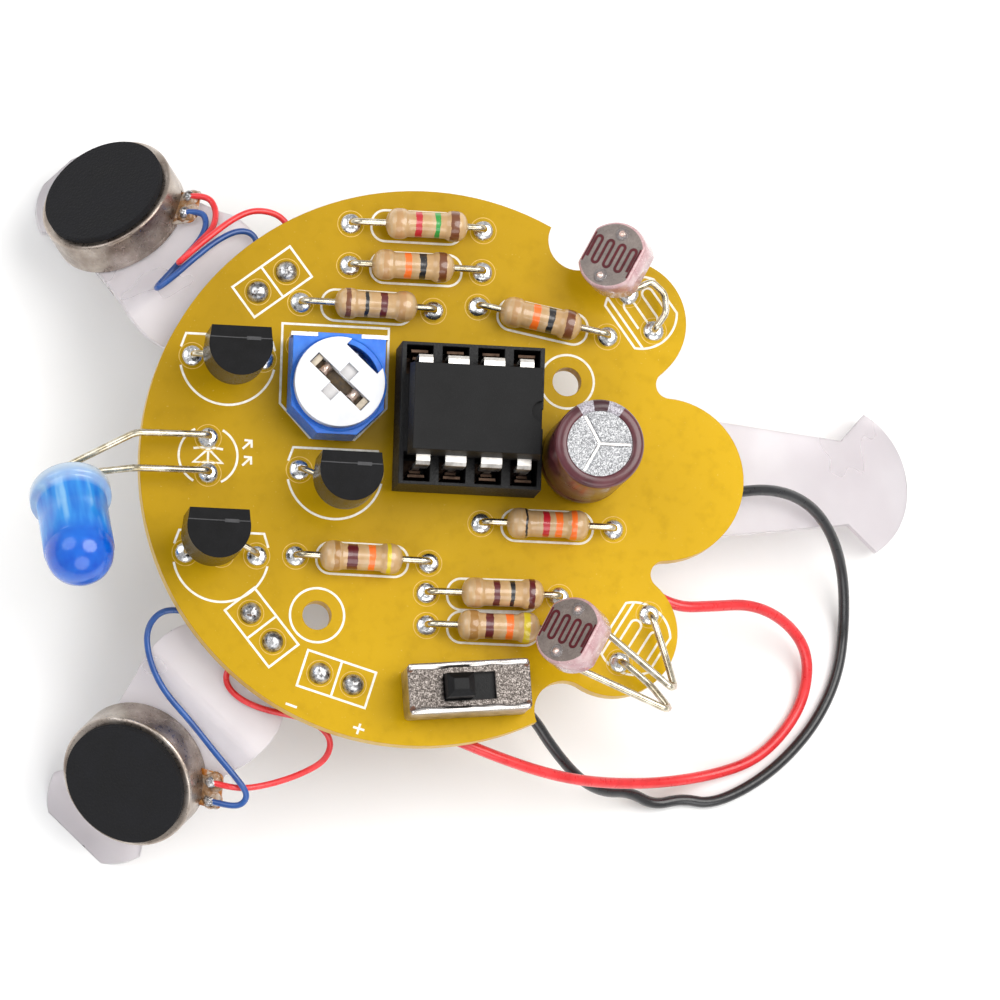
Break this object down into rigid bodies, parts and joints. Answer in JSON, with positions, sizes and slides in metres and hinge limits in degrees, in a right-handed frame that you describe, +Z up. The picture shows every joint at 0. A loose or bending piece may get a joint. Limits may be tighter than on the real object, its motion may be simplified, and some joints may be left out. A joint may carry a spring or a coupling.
{
  "type": "line follower robot",
  "caption": "Small light-sensing walking robot: round yellow circuit board on clear plastic legs, shaken along by coin vibration motors and steered by photocells.",
  "frame": {"origin": "middle of the base of the bounding box of the robot without its two free power wires, on the floor under the board", "axes": "+X to the head (front leg), +Y to the left side of the robot, +Z up"},
  "size_m": [0.0652, 0.0516, 0.0263],
  "materials": {
    "board": "yellow solder mask on glass fibre, white printed outlines",
    "solder": "bright solder",
    "resistor_body": "beige lacquer with colour bands",
    "tinned_lead": "tinned copper",
    "chip_black": "speckled moulding compound",
    "pin_tin": "tin plated",
    "socket_black": "matt black",
    "contact_copper": "copper alloy",
    "transistor_black": "satin black",
    "can_aluminium": "speckled with grooves",
    "sleeve_maroon": "glossy shrink sleeve",
    "led_blue": "translucent blue",
    "cell_ceramic": "grey-brown face with dark track under clear coat",
    "trimmer_blue": "blue moulding",
    "dial_white": "white rotor",
    "switch_steel": "mottled galvanised sheet",
    "switch_board": "brown insulating board",
    "knob_black": "matt black",
    "clear_leg": "clear sheet, slightly hazy",
    "tape": "double-sided foam tape",
    "motor_steel": "drawn nickel-plated steel",
    "magnet": "sintered",
    "shaft_steel": "ground",
    "rotor_plate": "circuit plate with coils",
    "weight_metal": "dense sintered alloy",
    "flex_amber": "amber film",
    "motor_foam": "black foam",
    "holder_black": "matt black",
    "contact_steel": "nickel-plated spring sheet",
    "cell_can": "plain metal",
    "wire_red": "insulation",
    "wire_blue": "insulation",
    "wire_black": "insulation"
  },
  "bodies": {
    "robot_frame": {"adhesive_pads": "tape", "battery_contacts": "contact_steel", "battery_holder": "holder_black", "capacitor_can": "can_aluminium", "capacitor_sleeve": "sleeve_maroon", "circuit_board": "board", "coin_cell": "cell_can", "component_leads": "tinned_lead", "ic_body": "chip_black", "ic_pins": "pin_tin", "led_leads": "tinned_lead", "led_lens": "led_blue", "leg_front": "clear_leg", "leg_left": "clear_leg", "leg_right": "clear_leg", "motor_left_base": "motor_steel", "motor_left_case": "motor_steel", "motor_left_flex": "flex_amber", "motor_left_foam": "motor_foam", "motor_left_magnet": "magnet", "motor_left_shaft": "shaft_steel", "motor_left_wire_blue": "wire_blue", "motor_left_wire_red": "wire_red", "motor_right_base": "motor_steel", "motor_right_case": "motor_steel", "motor_right_flex": "flex_amber", "motor_right_foam": "motor_foam", "motor_right_magnet": "magnet", "motor_right_shaft": "shaft_steel", "motor_right_wire_blue": "wire_blue", "motor_right_wire_red": "wire_red", "photocell_leads": "tinned_lead", "photocell_left": "cell_ceramic", "photocell_right": "cell_ceramic", "power_wire_black": "wire_black", "power_wire_red": "wire_red", "resistor_r10": "resistor_body", "resistor_r11": "resistor_body", "resistor_r2": "resistor_body", "resistor_r3": "resistor_body", "resistor_r5": "resistor_body", "resistor_r6": "resistor_body", "resistor_r7": "resistor_body", "resistor_r9": "resistor_body", "socket_body": "socket_black", "socket_contacts": "contact_copper", "solder_joints": "solder", "switch_base": "switch_board", "switch_shell": "switch_steel", "switch_terminals": "pin_tin", "transistor_bodies": "transistor_black", "trimmer_base": "trimmer_blue", "trimmer_terminals": "pin_tin"},
    "rotor_left": {"motor_left_rotor": "rotor_plate", "motor_left_weight": "weight_metal"},
    "rotor_right": {"motor_right_rotor": "rotor_plate", "motor_right_weight": "weight_metal"},
    "switch_knob": {"switch_slider": "knob_black"},
    "trimmer_rotor": {"trimmer_dial": "dial_white"}
  },
  "joints": [
    {"name": "motor_left_spin", "type": "hinge", "parent": "robot_frame", "child": "rotor_left", "pos_m": [-0.02594, 0.02004, 0.00584], "axis": [-0.4912, 0.4912, 0.7193], "continuous": true},
    {"name": "motor_right_spin", "type": "hinge", "parent": "robot_frame", "child": "rotor_right", "pos_m": [-0.02301, -0.01935, 0.00608], "axis": [-0.4648, -0.5162, 0.7193], "continuous": true},
    {"name": "switch_slide", "type": "slide", "parent": "robot_frame", "child": "switch_knob", "axis": [0.995, 0.1002, 0], "range_m": [0, 0.0016]},
    {"name": "trimmer_turn", "type": "hinge", "parent": "robot_frame", "child": "trimmer_rotor", "pos_m": [-0.01121, 0.00701, 0.0178], "axis": [0, 0, 1], "range_deg": [-105, 105]}
  ]
}
